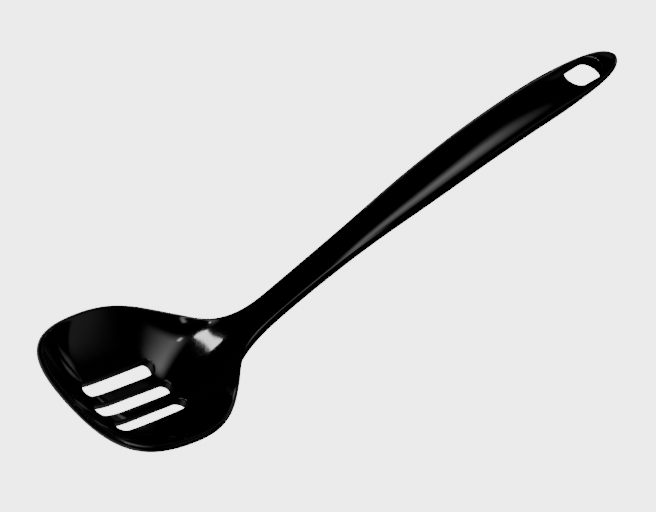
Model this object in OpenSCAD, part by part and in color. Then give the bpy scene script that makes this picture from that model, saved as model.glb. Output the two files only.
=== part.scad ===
// Slotted serving spoon, lying on a table on the heel of its bowl and on the end of its handle.
// +X runs from the bowl to the hanging end, +Z is up, and the origin is the middle of its footprint.
// It is one moulding, divided where its features change. Each stretch is a loft of sections
// that stand square to a bent spine, which follows the lip of the bowl and the side of the handle.

/* [Bowl] */
// Width of the bowl over its lip
bowl_w = 76; // [60:0.5:100]
// Distance from the front of the lip to the widest place
bowl_widest = 41; // [32:0.2:50]
// Depth of the bowl inside, below its lip
bowl_depth = 18; // [8:0.5:22]
// Thickness of the bowl's floor
floor_t = 3.3; // [2:0.1:5]
// Width of the lip's rounded edge
lip_w = 1.6; // [1:0.1:2.5]
// Height of the lip's rounded edge
lip_h = 3.4; // [2:0.1:5]

/* [Slots] */
// Number of slots
slot_count = 3; // [1:1:4]
// Width of a slot
slot_w = 6; // [4:0.2:8]
// Distance between the middles of two slots
slot_pitch = 10.8; // [9:0.1:13]
// Length of the middle slot
slot_len = 44; // [20:0.2:46]
// Distance from the front of the lip to the front end of the middle slot
slot_front = 23; // [18:0.2:30]
// How much further back the front end of each next slot lies
slot_front_offset = 2.2; // [0:0.1:5]
// How much further forward the back end of each next slot lies
slot_back_offset = 1.8; // [0:0.1:5]

/* [Neck] */
// Distance along the spine from the widest place of the bowl to the slimmest place of the neck
shoulder_len = 75.4; // [66:0.2:96]
// Width of the neck where it is slimmest
neck_w = 11.6; // [9:0.2:18]
// Thickness of the neck where it is slimmest
neck_t = 7.6; // [6:0.2:12]
// Angle by which the handle turns up from the bowl's lip
neck_angle = 40.5; // [25:0.5:50]

/* [Handle] */
// Distance from the slimmest place of the neck to the broadest place of the grip
swell_len = 150.4; // [110:0.2:190]
// Width of the grip where it is broadest
grip_w = 20.4; // [17:0.2:28]
// Thickness of the grip where it is broadest
grip_t = 11.4; // [9:0.2:16]
// Distance from the broadest place of the grip to the end of the handle
end_len = 50.6; // [42:0.2:70]
// Thickness of the handle round the hanging hole
end_t = 7; // [5:0.2:11]
// Angle by which the handle arches over from the neck to its end
arch_angle = 24.1; // [10:0.1:30]

/* [Hanging hole] */
// Length of the hanging hole along the handle
hole_l = 19.8; // [13:0.2:22]
// Width of the hanging hole
hole_w = 11.8; // [6:0.2:13]
// Distance from the middle of the hanging hole to the end of the handle
hole_inset = 21.8; // [17:0.2:26]

/* [Hidden] */

moulding_colour = [0.05, 0.05, 0.055];

// Stations along the spine, counted from the front of the lip
neck_at = bowl_widest + shoulder_len;
grip_at = neck_at + swell_len;
tip_at = grip_at + end_len;
hole_at = tip_at - hole_inset;

// Shares of the shoulder's length between which the spine bends, the dish rises to the saddle
// and its wall thickens, the share by which the heel under the saddle has risen too, and the share
// from which its underside grows square
bend_shares = [0.386, 0.959];
dish_shares = [0.2, 0.85];
thick_shares = [0.109, 0.935];
heel_share = 0.957;
square_share = 0.197;
bend_from = bowl_widest + bend_shares[0] * shoulder_len;
bend_to = bowl_widest + bend_shares[1] * shoulder_len;
dish_from = bowl_widest + dish_shares[0] * shoulder_len;
dish_to = bowl_widest + dish_shares[1] * shoulder_len;
thick_from = bowl_widest + thick_shares[0] * shoulder_len;
thick_to = bowl_widest + thick_shares[1] * shoulder_len;
heel_to = bowl_widest + heel_share * shoulder_len;
square_from = bowl_widest + square_share * shoulder_len;

// How far each curve of the outline runs on before it turns, as shares of its length and width
front_full_share = 0.779;
side_full_share = 0.727;
shoulder_run_shares = [0.248, 0.141];
neck_run_shares = [0.088, 0.341];
swell_run_shares = [0.486, 0.626];
end_run_share = 0.719;
tip_full_share = 0.581;
// Where the hollow of the shoulder begins, as shares of its length and width, and its slope there
hollow_at_share = 0.523;
hollow_w_share = 0.453;
hollow_slope = 0.911;

// Crown of the neck's flat top, as a share of its thickness, and the rounded edges of the neck and
// the grip, as shares of their width and thickness
neck_crown_share = 0.05;
neck_edge_shares = [0.08, 0.24];
grip_edge_shares = [0.02, 0.07];
neck_crown = neck_crown_share * neck_t;
neck_edge_w = neck_edge_shares[0] * neck_w;
neck_edge_h = neck_edge_shares[1] * neck_t;
grip_edge_w = grip_edge_shares[0] * grip_w;
grip_edge_h = grip_edge_shares[1] * grip_t;
// Share of an edge's width that it turns in again below, on the handle
tuck_share = 0.3;
// Length of the handle's rounded end
end_round = 10;
// Share of the handle's thickness that lies above the line of its edges
crown_share = 0.46;

// Fullness of the dish across and towards its front, of the square neck and of the round grip
dish_power = 2;
front_power = 2.38;
neck_power = 6;
round_power = 2.3;

// Number of sections in each stretch, and of those that belong to its first piece
front_rows = 12;
shoulder_rows = 18;
bowl_rows = 11;
swell_rows = 24;
stem_rows = 12;
end_rows = 20;
// Number of steps from the middle of a section to its edge, and round that edge
ring_steps = 9;
edge_steps = 6;
// Slopes of the lip between which the one at rest lies, and the number of halvings that find it
rest_angles = [-60, 30];
rest_steps = 40;
// Least distance from the grip's last section to the hole, and the length by which cuts overrun
hole_clear = 6;
overrun = 1;

function ease(t) = t <= 0 ? 0 : t >= 1 ? 1 : pow(t, 3) * (10 - 15 * t + 6 * t * t);
function blend(a, b, from, to, s) = a + (b - a) * ease((s - from) / (to - from));
function bezier(p, t) =
    pow(1 - t, 3) * p[0] + 3 * pow(1 - t, 2) * t * p[1] + 3 * (1 - t) * t * t * p[2] + pow(t, 3) * p[3];
function sample(curve, steps) = [for (i = [0:steps]) bezier(curve, i / steps)];
function slice(list, from, to) = [for (i = [from:1:to]) list[i]];

// Outline of one side, as stations and half widths
half_bowl = bowl_w / 2;
half_neck = neck_w / 2;
half_grip = grip_w / 2;
front_outline = sample([
    [0, 0],
    [0, half_bowl * front_full_share],
    [bowl_widest * (1 - side_full_share), half_bowl],
    [bowl_widest, half_bowl]], front_rows);
hollow = [
    bowl_widest + shoulder_len * hollow_at_share,
    half_neck + (half_bowl - half_neck) * hollow_w_share];
along_hollow = shoulder_len * [1, -hollow_slope];
shoulder_outline = concat(
    sample([
        [bowl_widest, half_bowl],
        [bowl_widest + shoulder_len * shoulder_run_shares[0], half_bowl],
        hollow - along_hollow * shoulder_run_shares[1],
        hollow], shoulder_rows / 2),
    slice(sample([
        hollow,
        hollow + along_hollow * neck_run_shares[0],
        [neck_at - shoulder_len * neck_run_shares[1], half_neck],
        [neck_at, half_neck]], shoulder_rows / 2), 1, shoulder_rows / 2));
swell_outline = sample([
    [neck_at, half_neck],
    [neck_at + swell_len * swell_run_shares[0], half_neck],
    [grip_at - swell_len * swell_run_shares[1], half_grip],
    [grip_at, half_grip]], swell_rows);
end_outline = sample([
    [grip_at, half_grip],
    [grip_at + end_len * end_run_share, half_grip],
    [tip_at, half_grip * tip_full_share],
    [tip_at, 0]], end_rows);
grip_end_rows = max([for (i = [0:end_rows])
    i == 0 || end_outline[i][0] < hole_at - hole_l / 2 - hole_clear ? i : 0]);

// Slope of the spine, and its place, as [x, z] from the front of the lip
function turn(s) =
    s <= bend_from ? 0 :
    s <= bend_to ? neck_angle * (s - bend_from) / (bend_to - bend_from) :
    neck_angle - arch_angle * (s - bend_to) / (tip_at - bend_to);
function arc_step(from, to, rest) =
    let (a = rest + turn(from), b = rest + turn(to))
    to <= from ? [0, 0] : (to - from) / (b - a) * 180 / PI * [sin(b) - sin(a), cos(a) - cos(b)];
function spine(s, rest) =
    min(s, bend_from) * [cos(rest), sin(rest)]
    + arc_step(bend_from, min(s, bend_to), rest)
    + arc_step(bend_to, s, rest);
function lift(s, h, rest) =
    spine(s, rest) + h * [-sin(rest + turn(s)), cos(rest + turn(s))];

// Thickness of the wall in the middle of a section, and how far its faces lie above the spine and
// below it: the heel rises later than the dish, which makes the saddle thicker
function end_taper(s) = sqrt(max(0, 1 - pow(max(0, s - tip_at + end_round) / end_round, 2)));
function thickness(s) = end_taper(s) * (
    s <= neck_at ? blend(floor_t, neck_t, thick_from, thick_to, s) :
    s <= grip_at ? blend(neck_t, grip_t, neck_at, grip_at, s) :
    blend(grip_t, end_t, grip_at, hole_at, s));
function rise(s, to) =
    s <= neck_at ? blend(-bowl_depth, neck_crown, dish_from, to, s) :
    s <= grip_at ? blend(neck_crown, crown_share * grip_t, neck_at, grip_at, s) :
    crown_share * thickness(s);
function crown(s) = rise(s, dish_to);
function belly(s) = thickness(s) - rise(s, heel_to);

// Width and height of a section's rounded edge, how far it turns in again below, and the roundness
// of the section's two faces
function edge_w(s, half) = min(half / 2,
    s <= neck_at ? blend(lip_w, neck_edge_w, dish_from, neck_at, s) :
    blend(neck_edge_w, grip_edge_w, neck_at, grip_at, s));
function edge_h(s) = end_taper(s) * (
    s <= neck_at ? blend(lip_h, neck_edge_h, dish_from, neck_at, s) :
    blend(neck_edge_h, grip_edge_h, neck_at, grip_at, s));
function tuck(s) = blend(1, tuck_share, square_from, neck_at, s);
function top_root(s) = blend(1, round_power, neck_at, grip_at, s);
function top_power(s) = blend(dish_power, round_power, dish_from, neck_at, s);
function under_power(s) =
    s <= neck_at ? blend(dish_power, neck_power, square_from, neck_at, s) :
    blend(neck_power, round_power, neck_at, grip_at, s);
function under_root(s) =
    s <= neck_at ? blend(1, neck_power, square_from, neck_at, s) : under_power(s);

// Height of the top and of the underside at a share e of the way to the edge, for a section that
// turns to the front of the bowl by the share fore
function bulge(e, power, root) = pow(1 - pow(e, power), 1 / root);
function top_h(s, e, fore) =
    crown(s) * bulge(e, top_power(s) + (front_power - dish_power) * fore, top_root(s));
function under_h(s, e, fore) =
    let (from = edge_h(s) / 2 * (1 + tuck(s)))
    -from - (belly(s) - from)
    * bulge(e, under_power(s) + (front_power - dish_power) * fore, under_root(s));
function step_share(j) = sin(90 * j / ring_steps);

// The spoon lies on the table at two places: the slope of the lip is found by halving
function low(outline, rest) = min([for (o = outline) lift(o[0], -belly(o[0]), rest)[1]]);
function rest_slope(from, to, steps) =
    let (mid = (from + to) / 2)
    steps == 0 ? mid :
    low(shoulder_outline, mid) > low(end_outline, mid) ?
        rest_slope(mid, to, steps - 1) : rest_slope(from, mid, steps - 1);
rest = rest_slope(rest_angles[0], rest_angles[1], rest_steps);

// Place of a point of a section in the part's own frame
front_x = min([for (k = [0:edge_steps]) let (p = edge_point(bowl_widest, bowl_widest, k))
    lift(bowl_widest - p[0], p[1], rest)[0]]);
tip_x = max([for (o = end_outline) lift(o[0], crown(o[0]), rest)[0]]);
table_z = low(shoulder_outline, rest);
function place(s, y, h) =
    let (p = lift(s, h, rest))
    [p[0] - (front_x + tip_x) / 2, y, p[1] - table_z];

// Half a section, from the middle of its top round its edge to the middle of its underside
function edge_point(s, half, k) =
    let (a = 90 - 180 * k / edge_steps, turned = a < 0 ? tuck(s) : 1, w = turned * edge_w(s, half))
    [half - w + w * cos(a), edge_h(s) / 2 * (turned * sin(a) - 1)];
function top_half(s, half, fore = 0) = [for (j = [0:ring_steps])
    [(half - edge_w(s, half)) * step_share(j), top_h(s, step_share(j), fore)]];
function edge_half(s, half) = [for (k = [1:edge_steps - 1]) edge_point(s, half, k)];
function under_half(s, half, fore = 0) = [for (j = [0:ring_steps])
    [(half - tuck(s) * edge_w(s, half)) * step_share(j), under_h(s, step_share(j), fore)]];
function reversed(list) = [for (i = [len(list) - 1:-1:0]) list[i]];
function half_section(s, half) =
    concat(top_half(s, half), edge_half(s, half), reversed(under_half(s, half)));

// A whole section of the handle, as one closed loop of points
function loop(o) =
    let (half = half_section(o[0], o[1]))
    concat(
        [for (p = half) place(o[0], -p[0], p[1])],
        [for (i = [len(half) - 2:-1:1]) place(o[0], half[i][0], half[i][1])]);

// A solid through closed loops of points that all have the same number of points
module loft(loops) {
    n = len(loops[0]);
    last = len(loops) - 1;
    polyhedron(
        points = [for (ring = loops) each ring],
        faces = concat(
            [[for (i = [0:n - 1]) i]],
            [for (r = [0:last - 1], i = [0:n - 1])
                let (a = r * n + i, b = r * n + (i + 1) % n)
                each [[a, a + n, b], [b, a + n, b + n]]],
            [[for (i = [n - 1:-1:0]) last * n + i]]));
}

// The same, with the last loop drawn together to the point at the end of the handle
module loft_to_tip(loops, tip) {
    n = len(loops[0]);
    last = len(loops) - 1;
    polyhedron(
        points = concat([for (ring = loops) each ring], [tip]),
        faces = concat(
            [[for (i = [0:n - 1]) i]],
            [for (r = [0:last - 1], i = [0:n - 1])
                let (a = r * n + i, b = r * n + (i + 1) % n)
                each [[a, a + n, b], [b, a + n, b + n]]],
            [for (i = [0:n - 1]) [last * n + i, (last + 1) * n, last * n + (i + 1) % n]]));
}

// Rays of the bowl, from its right shoulder round the front to its left one: each has the station
// that it starts from, its direction across the lip's plane, and its reach to the lip's outside
function shoulder_ray(o, side) = [o[0], [0, side], o[1]];
function front_ray(o, side) =
    let (v = [o[0] - bowl_widest, side * o[1]])
    [bowl_widest, v / norm(v), norm(v)];
bowl_outline = slice(shoulder_outline, 0, bowl_rows);
rays = concat(
    [for (i = [bowl_rows:-1:1]) shoulder_ray(bowl_outline[i], 1)],
    [for (i = [front_rows:-1:1]) front_ray(front_outline[i], 1)],
    [for (i = [0:front_rows]) front_ray(front_outline[i], -1)],
    [for (i = [1:bowl_rows]) shoulder_ray(bowl_outline[i], -1)]);
function on_ray(ray, p) = place(ray[0] + p[0] * ray[1][0], p[0] * ray[1][1], p[1]);

// The dish inside the lip: rings on top, rings below, and the line down the middle of each face
module dish() {
    n = len(rays);
    m = ring_steps;
    tops = [for (ray = rays) top_half(ray[0], ray[2], pow(ray[1][0], 2))];
    unders = [for (ray = rays) under_half(ray[0], ray[2], pow(ray[1][0], 2))];
    ring_top = [for (j = [1:m], i = [0:n - 1]) on_ray(rays[i], tops[i][j])];
    ring_under = [for (j = [1:m], i = [0:n - 1]) on_ray(rays[i], unders[i][j])];
    middle_top = [for (o = bowl_outline) place(o[0], 0, crown(o[0]))];
    middle_under = [for (o = bowl_outline) place(o[0], 0, -belly(o[0]))];
    under = m * n;
    mid_top = 2 * m * n;
    mid_under = mid_top + bowl_rows + 1;
    last = n - 1 - bowl_rows;
    function root(i) = i < bowl_rows ? bowl_rows - i : i > last ? i - last : 0;
    function strip(a, b, c, d) = a == b ? [[a, c, d]] : [[a, b, d], [b, c, d]];
    polyhedron(
        points = concat(ring_top, ring_under, middle_top, middle_under),
        faces = concat(
            [for (i = [0:n - 2]) each
                strip(mid_top + root(i), mid_top + root(i + 1), i + 1, i)],
            [for (j = [0:m - 2], i = [0:n - 2]) let (a = j * n + i)
                each [[a, a + 1, a + n], [a + 1, a + n + 1, a + n]]],
            [for (i = [0:n - 2]) each [for (f =
                strip(mid_under + root(i), mid_under + root(i + 1), under + i + 1, under + i)) reversed(f)]],
            [for (j = [0:m - 2], i = [0:n - 2]) let (a = under + j * n + i)
                each [[a, a + n, a + 1], [a + 1, a + n, a + n + 1]]],
            [for (i = [0:n - 2]) let (a = (m - 1) * n + i)
                each [[a, a + 1, a + under], [a + 1, a + 1 + under, a + under]]],
            [concat(
                [for (j = [m - 1:-1:0]) under + j * n],
                [mid_under + bowl_rows],
                [for (j = [0:m - 1]) under + j * n + n - 1],
                [for (j = [m - 1:-1:0]) j * n + n - 1],
                [mid_top + bowl_rows],
                [for (j = [0:m - 1]) j * n])]));
}

// A hole with round ends, which starts at the origin and runs along +X
module oblong(length, width, depth) {
    linear_extrude(depth, center = true) {
        translate([width / 2, -width / 2]) square([length - width, width]);
        translate([width / 2, 0]) circle(d = width, $fn = 48);
        translate([length - width / 2, 0]) circle(d = width, $fn = 48);
    }
}

// The dish with its slots, which stand square to the plane of the lip
module bowl() color(moulding_colour)
    difference() {
        dish();
        for (i = [0:slot_count - 1]) {
            across = i - (slot_count - 1) / 2;
            from = slot_front + slot_front_offset * abs(across);
            to = slot_front + slot_len - slot_back_offset * abs(across);
            translate(place(from, across * slot_pitch, 0))
                rotate([0, -rest, 0])
                    oblong(to - from, slot_w, 2 * (bowl_depth + floor_t + overrun));
        }
    }

// The lip, rounded outside and flat against the dish
module rim() color(moulding_colour)
    loft([for (ray = rays)
        [for (k = [0:edge_steps]) on_ray(ray, edge_point(ray[0], ray[2], k))]]);

module neck() color(moulding_colour)
    loft([for (o = slice(shoulder_outline, bowl_rows, shoulder_rows)) loop(o)]);

module stem() color(moulding_colour)
    loft([for (o = slice(swell_outline, 0, stem_rows)) loop(o)]);

module grip() color(moulding_colour)
    loft([for (o = concat(slice(swell_outline, stem_rows, swell_rows), slice(end_outline, 1, grip_end_rows)))
        loop(o)]);

module hanging_end() color(moulding_colour)
    difference() {
        loft_to_tip([for (o = slice(end_outline, grip_end_rows, end_rows - 1)) loop(o)], place(tip_at, 0, 0));
        translate(place(hole_at, 0, 0))
            rotate([0, -rest - turn(hole_at), 0])
                translate([-hole_l / 2, 0])
                    oblong(hole_l, hole_w, 2 * (grip_t + overrun));
    }

bowl();
rim();
neck();
stem();
grip();
hanging_end();
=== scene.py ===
import math
from functools import lru_cache

import bpy
import numpy as np
from mathutils import Matrix, Vector
from mathutils.geometry import delaunay_2d_cdt


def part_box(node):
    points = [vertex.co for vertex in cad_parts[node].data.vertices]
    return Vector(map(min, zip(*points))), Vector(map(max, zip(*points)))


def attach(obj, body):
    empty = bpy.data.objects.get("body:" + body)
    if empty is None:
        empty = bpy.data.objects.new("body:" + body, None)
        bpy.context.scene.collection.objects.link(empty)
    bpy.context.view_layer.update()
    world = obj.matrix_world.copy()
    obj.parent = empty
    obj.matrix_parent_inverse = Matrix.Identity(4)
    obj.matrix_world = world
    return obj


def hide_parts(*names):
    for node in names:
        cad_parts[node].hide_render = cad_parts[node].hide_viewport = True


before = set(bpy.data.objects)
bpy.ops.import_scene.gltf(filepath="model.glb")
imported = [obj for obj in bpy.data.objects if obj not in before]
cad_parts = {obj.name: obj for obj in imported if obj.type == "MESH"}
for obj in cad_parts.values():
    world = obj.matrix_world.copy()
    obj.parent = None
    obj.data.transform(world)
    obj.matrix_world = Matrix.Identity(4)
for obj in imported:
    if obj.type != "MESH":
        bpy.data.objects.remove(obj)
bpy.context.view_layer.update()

bl_info = {
    "name": "Slotted serving spoon",
    "version": (1, 0, 0),
    "blender": (4, 5, 0),
    "location": "3D View > Sidebar > Spoon",
    "description": "A glossy black slotted serving spoon, moulded in one, on a pale studio floor",
    "category": "Add Mesh",
}

MM = 0.001
BODY = "root"

# Shares of the shoulder's length between which the spine bends, the dish rises to the saddle
# and its wall thickens, the share by which the heel under the saddle has risen too, and the share
# from which its underside grows square
BEND_SHARES = (0.386, 0.959)
DISH_SHARES = (0.2, 0.85)
THICK_SHARES = (0.109, 0.935)
HEEL_SHARE = 0.957
SQUARE_SHARE = 0.197

# How far each curve of the outline runs on before it turns, as shares of its length and width
FRONT_FULL_SHARE = 0.779
SIDE_FULL_SHARE = 0.727
SHOULDER_RUN_SHARES = (0.248, 0.141)
NECK_RUN_SHARES = (0.088, 0.341)
SWELL_RUN_SHARES = (0.486, 0.626)
END_RUN_SHARE = 0.719
TIP_FULL_SHARE = 0.581
# Where the hollow of the shoulder begins, as shares of its length and width, and its slope there
HOLLOW_AT_SHARE = 0.523
HOLLOW_W_SHARE = 0.453
HOLLOW_SLOPE = 0.911

# Fullness of the dish across and towards its front, of the square neck and of the round grip
DISH_POWER = 2.0
FRONT_POWER = 2.38
NECK_POWER = 6.0
ROUND_POWER = 2.3
# Share of the handle's thickness that lies above the line of its edges
CROWN_SHARE = 0.46

# Where one piece of the moulding ends and the next begins, as shares of the stretch they lie in
BOWL_END_SHARE = 0.5794
STEM_END_SHARE = 0.4475
GRIP_END_SHARE = 0.2027
# Where the slotted floor and the holed end give way to plain sections
FLOOR_END_SHARE = 0.415
FLOOR_REACH_SHARE = 0.62
END_REACH_SHARE = 0.87

# Points that the spine is worked out at, the range of angles (degrees) that it may be tipped by, and
# how often a range is halved to find a place in it
SPINE_POINTS = 8001
REST_RANGE = (-60, 30)
HALVINGS = 40

# Softening of the outline, of the spine's bends and of the edges of a section
OUTLINE_SOFTNESS = 2 * MM
BEND_SOFTNESS = 9 * MM
EDGE_SOFTNESS = 0.35 * MM
EDGE_SOFT_SHARE = 0.1
# Half the stretch over which the fan of the bowl's front turns into cross sections
FAN_BLEND = 18 * MM

# Steps of the skin: round the front, between sections, and along a section from its middle to
# the reach of the floor, on to its edge, and round half of that edge
FAN_STEPS = 64
ROW_STEP = 1.1 * MM
TIP_STEPS = 26
TIP_LEFT = 0.03 * MM
REACH_STEPS = 12
SIDE_STEPS = 12
EDGE_STEPS = 8
SUB_STEPS = 6
# Steps of a hole's round end, of its straight side, of its rounded edge and of its wall
ROUND_STEPS = 18
STRAIGHT_STEP = 1.2 * MM
ROLL_STEPS = 5
WALL_STEPS = 3
FLOOR_STEP = 1.15 * MM
FLOOR_CLEAR_SHARE = 0.6
# What is kept of the triangles between points, and how close two points may lie, in floor steps
MESH_INSIDE = 1
MESH_CLOSENESS = 1e-6
# Half the step over which the slope of a face is measured
SLOPE_STEP = 0.02 * MM

# The plastic: scale and detail of the clouds, the scuffs and the ripple in it, how far the scuffs are
# drawn out along the handle, their share of the wear and the range that shows as wear
CLOUDS = (45, 3)
SCUFFS = (260, 6)
SCUFF_STRETCH = (1, 6, 6)
SCUFF_SHARE = 0.4
WEAR_RANGE = (0.5, 0.72)
RIPPLE = (120, 1)
RIPPLE_STRENGTH = 0.05
RIPPLE_DEPTH = 0.5 * MM
PLASTIC_IOR = 1.5
# Sockets of a Mix node that mixes colours
MIX_A, MIX_B, MIX_RESULT = 6, 7, 2

# The stage's floor and its dim surround, which only the gloss mirrors
ROOM_RADIUS = 4.0
ROOM_STEPS = 96
SURROUND_LEVELS = (-14, 20)
# The stage's lamps, the gleams that lie on its floor and a black flag that keeps the panel off the near
# lip: middle, size, tilt and turn, glow, soft shares at both ends and along both sides, and how much
# brighter one end is than the middle
LAMPS = (
    ("softbox", (0.2773, -0.2967, 0.45), (0.7079, 0.6968), (0, 31.1), 3.7, (0.31, 0.91, 2.0, 0.45), 0.33),
    ("panel", (-0.198, -0.022, 0.5), (0.4, 0.042), (0, 85.2), 36, (0.08, 0.06, 0.08, 0.1), 0),
    ("spot", (-0.095, -0.15, 0.3), (0.035, 0.025), (0, 20), 12, (0.5, 0.5, 0.5, 0.5), 0),
    ("rim_spot", (-0.197, -0.284, 0.3), (0.06, 0.03), (0, 69), 4, (0.5, 0.5, 0.5, 0.5), 0),
    ("floor_gleam", (-0.82, 0.2, -0.001), (1.5, 2.4), (0, -17), 0.9, (0.2, 0.15, 0.2, 0.2), 0),
    ("far_gleam", (0, 0.66, -0.001), (1.6, 1.2), (0, 0), 0.8, (0.3, 0.3, 0.15, 0.2), 0),
    ("flag", (-0.17, -0.015, 0.15), (0.075, 0.15), (0, 0), 0, (0.5, 0.5, 0.5, 0.5), 0),
)
# Dim boards that stand round the spoon: the directions and levels that each spans, seen from the
# bowl, its glow, and its soft shares at both ends, below and above
BOARD_DISTANCE = 1.5
BOARDS = (
    ("side_board", (-66, -14), (-3, 21), 0.3, (0.5, 0.6, 0.15, 1.9)),
    ("low_board", (-19, 3), (-18, 0), 0.65, (0.6, 0.6, 0.6, 0.6)),
    ("front_board", (4, 36), (2, 19), 0.13, (0.5, 0.5, 0.5, 0.5)),
    ("far_board", (95, 170), (-2, 36), 0.4, (0.5, 0.5, 0.2, 1.0)),
    ("back_board", (175, 250), (-2, 36), 0.4, (0.5, 0.5, 0.2, 1.0)),
)
# Width of the camera's sensor in millimetres
SENSOR_WIDTH = 36


def length(name, description, default):
    """A length that the user can set, in metres."""
    return bpy.props.FloatProperty(
        name=name, description=description, default=default, min=0, precision=4, unit="LENGTH")


def angle(name, description, degrees):
    """An angle that the user can set."""
    return bpy.props.FloatProperty(
        name=name, description=description, default=math.radians(degrees), subtype="ANGLE")


def share(name, description, default):
    """A number from 0 to 1 that the user can set."""
    return bpy.props.FloatProperty(
        name=name, description=description, default=default, min=0, max=1, subtype="FACTOR")


def colour(name, description, default):
    """A colour that the user can set."""
    return bpy.props.FloatVectorProperty(
        name=name, description=description, default=default, min=0, max=1, size=3, subtype="COLOR")


def glow(name, description, default):
    """A strength of light that the user can set."""
    return bpy.props.FloatProperty(name=name, description=description, default=default, min=0)


class SpoonSizes(bpy.types.PropertyGroup):
    """Driving sizes of the moulding."""

    bowl_w: length("Bowl width", "Width of the bowl over its lip", 0.076)
    bowl_widest: length("Widest place", "From the front of the lip to the widest place", 0.041)
    bowl_depth: length("Bowl depth", "Depth of the bowl inside, below its lip", 0.018)
    floor_t: length("Floor thickness", "Thickness of the bowl's floor", 0.0033)
    lip_w: length("Lip width", "Width of the lip's rounded edge", 0.0016)
    lip_h: length("Lip height", "Height of the lip's rounded edge", 0.0034)
    slot_w: length("Slot width", "Width of a slot", 0.006)
    slot_pitch: length("Slot pitch", "Between the middles of two slots", 0.0108)
    slot_len: length("Slot length", "Length of the middle slot", 0.044)
    slot_front: length("Slot front", "From the front of the lip to the middle slot", 0.023)
    slot_front_offset: length("Slot front offset", "How much further back each next slot starts", 0.0022)
    slot_back_offset: length("Slot back offset", "How much sooner each next slot ends", 0.0018)
    slot_roll: length("Slot edge radius", "Radius of the rounded edges of a slot", 0.0007)
    shoulder_len: length("Shoulder length", "From the widest place to the slimmest neck", 0.0754)
    neck_w: length("Neck width", "Width of the neck where it is slimmest", 0.0116)
    neck_t: length("Neck thickness", "Thickness of the neck where it is slimmest", 0.0076)
    neck_crown: length("Neck crown", "Crown of the neck's flat top", 0.0004)
    neck_edge_w: length("Neck edge width", "Width of the neck's rounded edge", 0.001)
    neck_edge_h: length("Neck edge height", "Twice the height of the neck's rounded edge", 0.002)
    neck_angle: angle("Neck angle", "Angle by which the handle turns up from the bowl's lip", 40.5)
    swell_len: length("Swell length", "From the slimmest neck to the broadest grip", 0.1504)
    grip_w: length("Grip width", "Width of the grip where it is broadest", 0.0204)
    grip_t: length("Grip thickness", "Thickness of the grip where it is broadest", 0.0114)
    grip_edge_w: length("Grip edge width", "Width of the grip's side edge", 0.00005)
    grip_edge_h: length("Grip edge height", "Height of the grip's side edge", 0.0005)
    arch_angle: angle("Arch angle", "Angle by which the handle arches over to its end", 24.1)
    end_len: length("End length", "From the broadest grip to the end of the handle", 0.0506)
    end_t: length("End thickness", "Thickness of the handle round the hanging hole", 0.007)
    end_round: length("End rounding", "Length of the handle's rounded end", 0.010)
    hole_l: length("Hole length", "Length of the hanging hole along the handle", 0.0198)
    hole_w: length("Hole width", "Width of the hanging hole", 0.0118)
    hole_inset: length("Hole inset", "From the middle of the hanging hole to the end", 0.0218)
    hole_roll: length("Hole edge radius", "Radius of the rounded edges of the hanging hole", 0.0010)


class SpoonFinish(bpy.types.PropertyGroup):
    """Colours and gloss of the moulding."""

    black: colour("Black", "Colour of the moulded plastic", (0.004, 0.004, 0.0043))
    worn_black: colour("Worn black", "Colour of the plastic where use has dulled it", (0.007, 0.007, 0.0073))
    gloss_roughness: share("Gloss", "Roughness of the untouched surface", 0.07)
    worn_roughness: share("Wear", "Roughness of the surface where use has dulled it", 0.13)


class SpoonStage(bpy.types.PropertyGroup):
    """The floor, the light and the camera's place."""

    floor_colour: colour("Floor", "Colour of the pale floor", (0.95, 0.95, 0.95))
    floor_glow: glow("Floor glow", "Light of the pale floor and of what lies behind it", 4.5)
    room_colour: colour("Room", "Colour of the light from all round", (0.97, 0.97, 0.97))
    surround_glow: glow("Surround glow", "Strength of the dim surround that the gloss mirrors", 0.015)
    camera_azimuth: angle("Camera azimuth", "Direction that the camera looks in, from +Y to +X", 41.516)
    camera_elevation: angle("Camera elevation", "Height of the camera above the horizon", 60.338)
    camera_roll: angle("Camera roll", "Turn of the camera about the way it looks", 0.638)
    camera_distance: length("Camera distance", "From the camera to the place it aims at", 1.1)
    camera_lens: bpy.props.FloatProperty(
        name="Camera lens", description="Focal length of the camera in millimetres",
        default=143.364, min=1, unit="CAMERA")
    camera_aim: bpy.props.FloatVectorProperty(
        name="Camera aim", description="The place that the camera aims at",
        default=(-0.01607, 0.0012, 0.01298), size=3, precision=4, subtype="XYZ", unit="LENGTH")


def ease(t):
    """A step from 0 to 1 that is level, and straight, at both of its ends."""
    t = np.clip(t, 0, 1)
    return t ** 3 * (10 - 15 * t + 6 * t ** 2)


def blend(a, b, start, end, s):
    """a before the station start, b after the station end, and a smooth change between them."""
    return a + (b - a) * ease((s - start) / (end - start))


def bezier(points, steps=400):
    """Points on a cubic curve."""
    t = np.linspace(0, 1, steps + 1)[:, None]
    a, b, c, d = (np.array(p, float) for p in points)
    return (1 - t) ** 3 * a + 3 * (1 - t) ** 2 * t * b + 3 * (1 - t) * t ** 2 * c + t ** 3 * d


def arc_lengths(points):
    """The distance along a line of points, at each of its points."""
    return np.concatenate([[0], np.cumsum(np.hypot(*np.diff(points, axis=0).T))])


def soften(points, sigma):
    """A line of points that mirrors itself in y at both ends, with its bends softened."""
    run = arc_lengths(points)
    even = np.linspace(0, run[-1], len(points))
    line = np.stack([np.interp(even, run, c) for c in points.T], -1)
    reach = math.ceil(4 * sigma / even[1])
    mirrored = line * [1, -1]
    padded = np.vstack([mirrored[reach:0:-1], line, mirrored[-2:-reach - 2:-1]])
    weights = np.exp(-0.5 * (np.arange(-reach, reach + 1) * even[1] / sigma) ** 2)
    weights /= weights.sum()
    return np.stack([np.convolve(c, weights, "valid") for c in padded.T], -1)


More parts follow.
